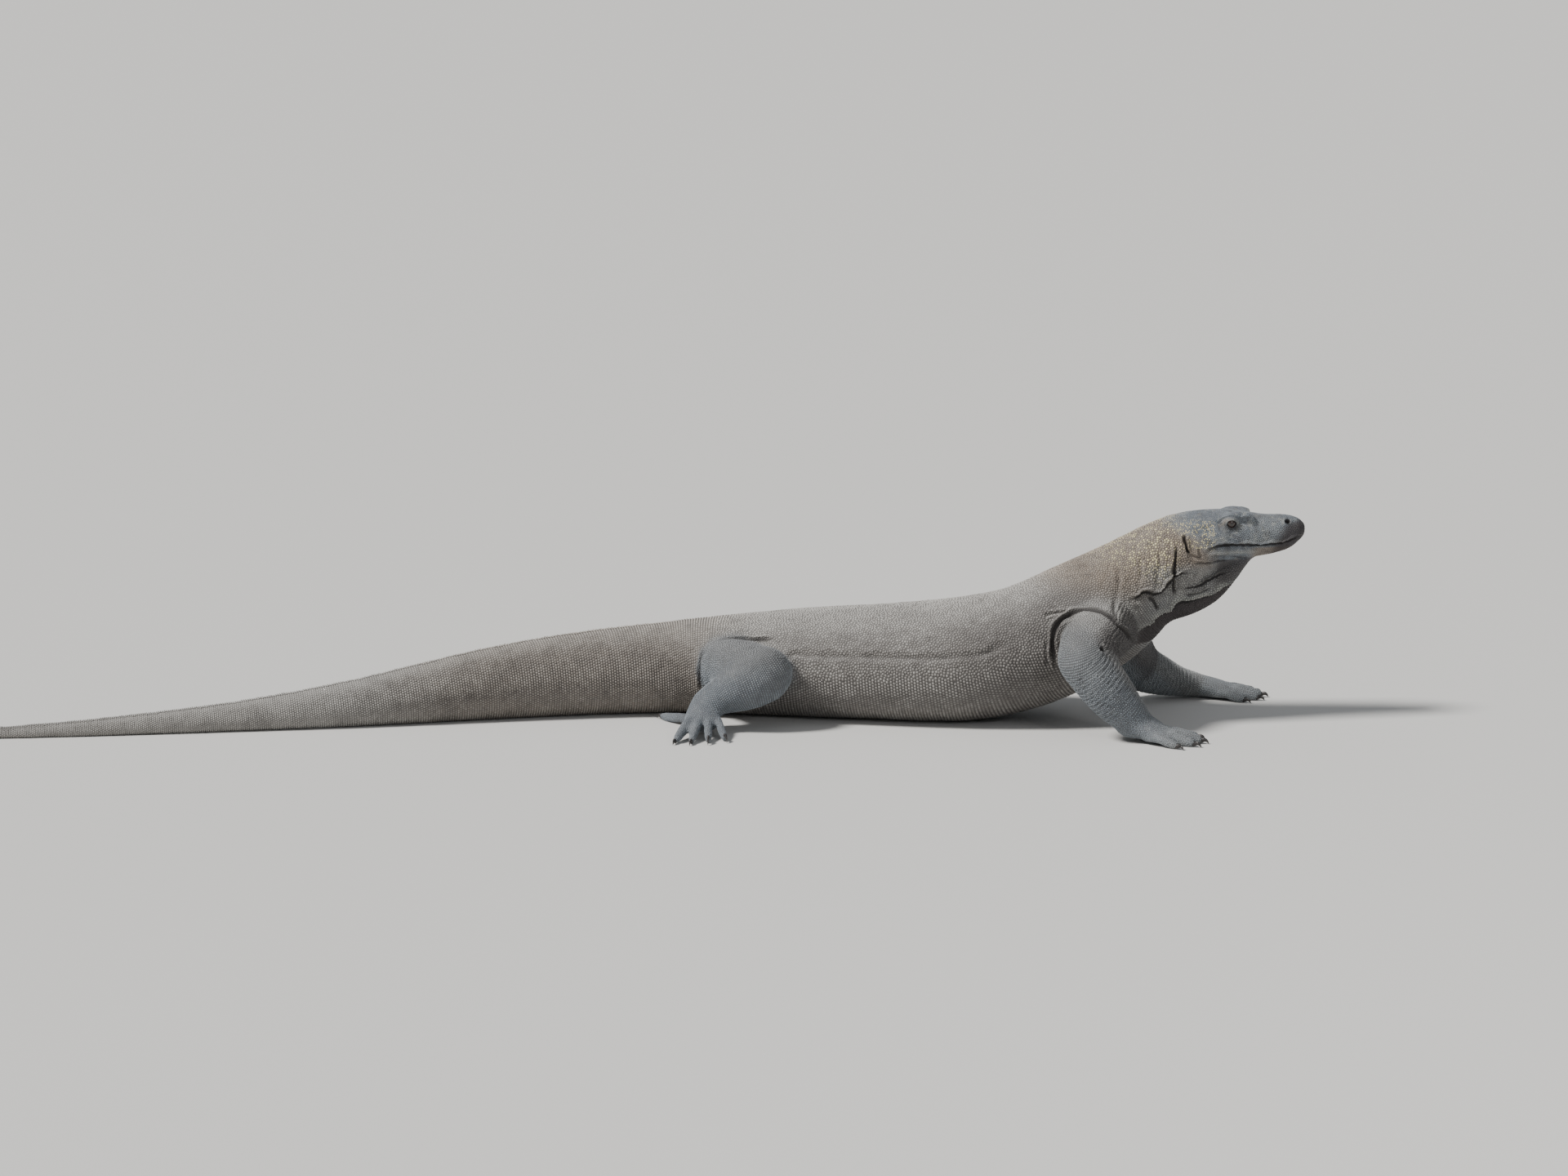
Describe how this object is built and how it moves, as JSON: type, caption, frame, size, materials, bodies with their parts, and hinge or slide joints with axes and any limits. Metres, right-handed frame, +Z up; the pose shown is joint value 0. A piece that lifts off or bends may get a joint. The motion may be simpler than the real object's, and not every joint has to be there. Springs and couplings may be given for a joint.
{
  "type": "komodo dragon model",
  "caption": "Life-size still model of a komodo dragon resting on its belly, chest propped on its forelegs, head raised and long tail laid out behind.",
  "frame": {"origin": "on the floor, on the flat underside of the trunk, below the middle of the trunk", "axes": "+X from the tail towards the head, +Y to the animal's left, +Z up from the floor"},
  "size_m": [2.2213, 0.7213, 0.3343],
  "materials": {
    "trunk_skin": "matt grey-brown scaly skin",
    "neck_skin": "matt tan and slate scaly skin",
    "leg_skin": "matt slate-grey scaly skin",
    "claw": "dark horn, worn satin",
    "eye": "wet dark brown eye"
  },
  "bodies": {
    "root": {"trunk": "trunk_skin", "tail_base": "trunk_skin", "tail_middle": "trunk_skin", "tail_end": "trunk_skin", "neck": "neck_skin", "head": "neck_skin", "lower_jaw": "neck_skin", "throat_pouch": "neck_skin", "eye_right": "eye", "eye_left": "eye", "upper_arm_right": "leg_skin", "forearm_right": "leg_skin", "hand_right": "leg_skin", "thigh_right": "leg_skin", "shin_right": "leg_skin", "foot_right": "leg_skin", "hand_right_claw_1": "claw", "hand_right_claw_2": "claw", "hand_right_claw_3": "claw", "hand_right_claw_4": "claw", "hand_right_claw_5": "claw", "foot_right_claw_1": "claw", "foot_right_claw_2": "claw", "foot_right_claw_3": "claw", "foot_right_claw_4": "claw", "foot_right_claw_5": "claw", "upper_arm_left": "leg_skin", "forearm_left": "leg_skin", "hand_left": "leg_skin", "thigh_left": "leg_skin", "shin_left": "leg_skin", "foot_left": "leg_skin", "hand_left_claw_1": "claw", "hand_left_claw_2": "claw", "hand_left_claw_3": "claw", "hand_left_claw_4": "claw", "hand_left_claw_5": "claw", "foot_left_claw_1": "claw", "foot_left_claw_2": "claw", "foot_left_claw_3": "claw", "foot_left_claw_4": "claw", "foot_left_claw_5": "claw"}
  },
  "joints": []
}
